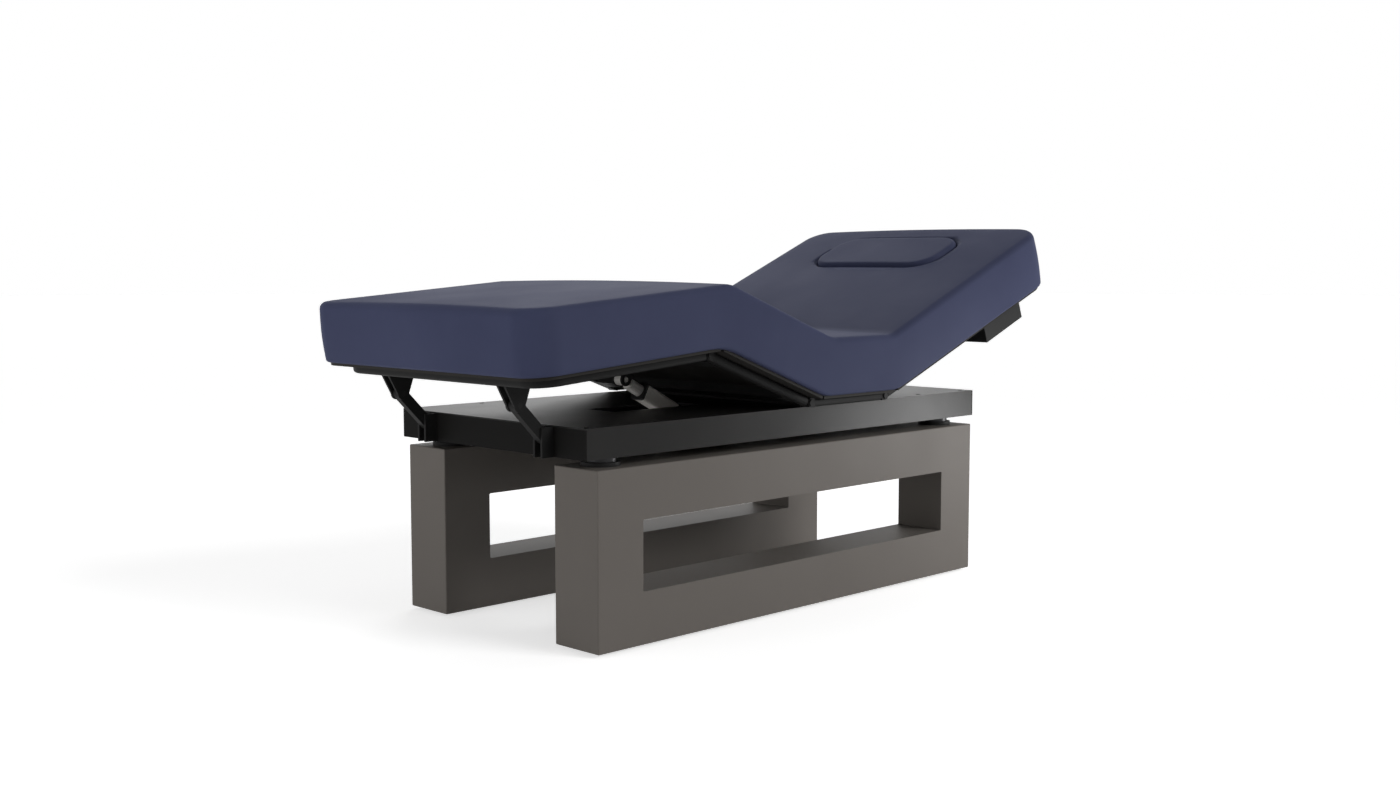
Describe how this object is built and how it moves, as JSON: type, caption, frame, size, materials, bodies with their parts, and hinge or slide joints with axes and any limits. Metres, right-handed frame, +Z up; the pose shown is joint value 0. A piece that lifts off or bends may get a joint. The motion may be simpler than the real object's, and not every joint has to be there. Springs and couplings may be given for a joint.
{
  "type": "electric spa table",
  "caption": "Electric spa table: navy padded top that bends at hip, knee and back, on a platform raised by columns from two lengthwise pedestals with long windows.",
  "frame": {"origin": "on the floor, below the middle of the table's bounding box", "axes": "+X along the table towards the head, +Y across the table to the left as seen from the foot end, +Z up"},
  "size_m": [1.8619, 0.8188, 0.9348],
  "materials": {
    "vinyl": "satin",
    "pedestal_laminate": "satin",
    "platform_paint": "satin",
    "frame_paint": "matte",
    "column_steel": "satin",
    "pin_steel": "satin",
    "drive_aluminium": "satin",
    "actuator_grey": "satin",
    "board_wood": "matte",
    "black_plastic": "matte"
  },
  "bodies": {
    "base": {"pedestal_left": "pedestal_laminate", "pedestal_right": "pedestal_laminate", "levelling_glides": "black_plastic", "column_sleeves": "column_steel", "guide_bushes": "black_plastic", "column_collars": "column_steel", "lift_drives": "drive_aluminium"},
    "platform": {"column_posts": "column_steel", "platform_side_beams": "platform_paint", "platform_end_plates": "platform_paint", "platform_crossbeams": "platform_paint", "platform_cover_foot": "platform_paint", "platform_cover_sides": "platform_paint", "platform_cover_head": "platform_paint", "cover_screws": "pin_steel", "seat_rails": "frame_paint", "seat_crossbars": "frame_paint", "seat_board": "board_wood", "seat_hinge_blocks": "black_plastic", "seat_hinge_pins": "pin_steel", "seat_pad": "vinyl", "back_bend_foam": "vinyl", "strut_brackets": "platform_paint", "platform_pivot_pins": "pin_steel", "knee_actuator_hanger": "platform_paint", "back_actuator_housing": "actuator_grey", "control_box": "black_plastic", "end_sockets": "black_plastic"},
    "thigh_section": {"thigh_rails": "frame_paint", "thigh_crossbars": "frame_paint", "thigh_board": "board_wood", "thigh_hinge_blocks": "black_plastic", "knee_hinge_pins": "pin_steel", "thigh_pad": "vinyl", "knee_bend_foam": "vinyl", "knee_actuator_lug": "frame_paint"},
    "leg_section": {"leg_side_rails": "frame_paint", "leg_corner_bends": "frame_paint", "leg_end_rail": "frame_paint", "leg_crossbars": "frame_paint", "leg_hinge_blocks": "black_plastic", "leg_board": "board_wood", "leg_pad": "vinyl", "strut_lugs": "frame_paint", "strut_top_pins": "pin_steel"},
    "foot_struts": {"swing_struts": "frame_paint"},
    "knee_actuator": {"knee_actuator_housing": "actuator_grey", "knee_actuator_motor": "black_plastic", "knee_actuator_collar": "black_plastic"},
    "knee_rod": {"knee_actuator_rod": "actuator_grey"},
    "back_rod": {"back_actuator_rod": "pin_steel"},
    "back_section": {"back_rails": "frame_paint", "back_crossbars": "frame_paint", "back_hinge_blocks": "black_plastic", "back_crank": "frame_paint", "back_board": "board_wood", "back_pad": "vinyl", "face_well": "black_plastic"},
    "face_plug": {"face_plug_board": "board_wood", "face_plug_pad": "vinyl"}
  },
  "joints": [
    {"name": "lift", "type": "slide", "parent": "base", "child": "platform", "axis": [0, 0, 1], "range_m": [0, 0.25]},
    {"name": "thigh_tilt", "type": "hinge", "parent": "platform", "child": "thigh_section", "pos_m": [-0.03482, 0, 0.5051], "axis": [0, 1, 0], "range_deg": [-20.5, 0]},
    {"name": "knee_bend", "type": "hinge", "parent": "thigh_section", "child": "leg_section", "pos_m": [-0.37952, 0, 0.63398], "axis": [0, 1, 0], "range_deg": [-0.1, 25.2], "deforming": ["knee_bend_foam"]},
    {"name": "strut_swing", "type": "hinge", "parent": "platform", "child": "foot_struts", "pos_m": [-0.74032, 0, 0.46648], "axis": [0, 1, 0], "range_deg": [-56.3, 0.1]},
    {"name": "knee_actuator_swing", "type": "hinge", "parent": "platform", "child": "knee_actuator", "pos_m": [-0.03582, 0, 0.3876], "axis": [0, 1, 0], "range_deg": [-18.48, 0.1]},
    {"name": "knee_rod_slide", "type": "slide", "parent": "knee_actuator", "child": "knee_rod", "axis": [-0.8834, 0, 0.4687], "range_m": [-0.03992, 0.0002]},
    {"name": "back_tilt", "type": "hinge", "parent": "platform", "child": "back_section", "pos_m": [0.25018, 0, 0.5051], "axis": [0, -1, 0], "range_deg": [-21.4, 43.6], "deforming": ["back_bend_foam"]},
    {"name": "back_rod_slide", "type": "slide", "parent": "platform", "child": "back_rod", "axis": [1, 0, 0], "range_m": [-0.02042, 0.0414]},
    {"name": "plug_lift", "type": "slide", "parent": "back_section", "child": "face_plug", "axis": [-0.3649, 0, 0.9311], "range_m": [0, 0.16]}
  ],
  "couplings": [
    {"joint": "knee_bend", "follows": "thigh_tilt", "ratio": -1.2244},
    {"joint": "strut_swing", "follows": "thigh_tilt", "ratio": 2.7415},
    {"joint": "knee_actuator_swing", "follows": "thigh_tilt", "ratio": 0.89632},
    {"joint": "knee_rod_slide", "follows": "thigh_tilt", "m_per_rad": 0.111},
    {"joint": "back_rod_slide", "follows": "back_tilt", "m_per_rad": 0.054145}
  ]
}
